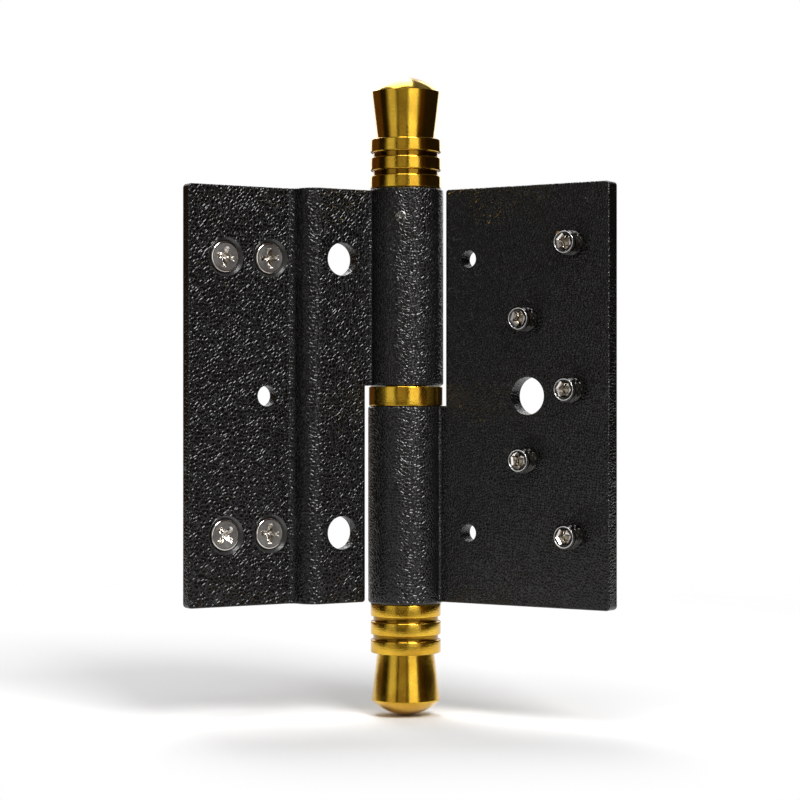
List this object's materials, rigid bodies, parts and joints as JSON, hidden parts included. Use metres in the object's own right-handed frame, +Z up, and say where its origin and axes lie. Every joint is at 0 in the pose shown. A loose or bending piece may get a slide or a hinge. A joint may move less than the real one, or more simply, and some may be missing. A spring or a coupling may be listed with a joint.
{
  "type": "door hinge",
  "caption": "Barrel door hinge with a cranked door leaf, a flat frame leaf set by jacking screws, a brass thrust ring and turned brass finials on the pin ends.",
  "frame": {"origin": "on the back (seating) face of the frame leaf at mid-height, 25 mm out from the pin axis", "axes": "+X along the frame leaf away from the pin, +Y out of the frame leaf's back into the frame, +Z up along the pin"},
  "size_m": [0.0963, 0.0575, 0.156],
  "materials": {
    "coated_steel": "black textured powder coat",
    "brass": "polished, turned",
    "bush_bronze": "plain bore",
    "pin_steel": "ground",
    "zinc_steel": "bright zinc plate",
    "spring_steel": "dark, partly painted"
  },
  "bodies": {
    "frame_side": {"frame_leaf": "coated_steel", "lower_knuckle": "coated_steel", "hinge_pin": "pin_steel", "thrust_ring": "brass", "lower_finial": "brass", "lower_lock_pin": "spring_steel"},
    "door_side": {"door_leaf": "coated_steel", "upper_knuckle": "coated_steel", "upper_bush": "bush_bronze", "upper_finial": "brass", "upper_lock_pin": "spring_steel", "door_screw_1": "zinc_steel", "door_screw_2": "zinc_steel", "door_screw_3": "zinc_steel", "door_screw_4": "zinc_steel"},
    "jack_screw_1": {"jack_screw_1": "zinc_steel"},
    "jack_screw_2": {"jack_screw_2": "zinc_steel"},
    "jack_screw_3": {"jack_screw_3": "zinc_steel"},
    "jack_screw_4": {"jack_screw_4": "zinc_steel"},
    "jack_screw_5": {"jack_screw_5": "zinc_steel"}
  },
  "joints": [
    {"name": "door_swing", "type": "hinge", "parent": "frame_side", "child": "door_side", "pos_m": [-0.025, -0.005, 0], "axis": [0, 0, -1], "range_deg": [-114, 66]},
    {"name": "jack_screw_1_travel", "type": "slide", "parent": "frame_side", "child": "jack_screw_1", "axis": [0, 1, 0], "range_m": [0, 0.003]},
    {"name": "jack_screw_2_travel", "type": "slide", "parent": "frame_side", "child": "jack_screw_2", "axis": [0, 1, 0], "range_m": [0, 0.003]},
    {"name": "jack_screw_3_travel", "type": "slide", "parent": "frame_side", "child": "jack_screw_3", "axis": [0, 1, 0], "range_m": [0, 0.003]},
    {"name": "jack_screw_4_travel", "type": "slide", "parent": "frame_side", "child": "jack_screw_4", "axis": [0, 1, 0], "range_m": [0, 0.003]},
    {"name": "jack_screw_5_travel", "type": "slide", "parent": "frame_side", "child": "jack_screw_5", "axis": [0, 1, 0], "range_m": [0, 0.003]}
  ]
}
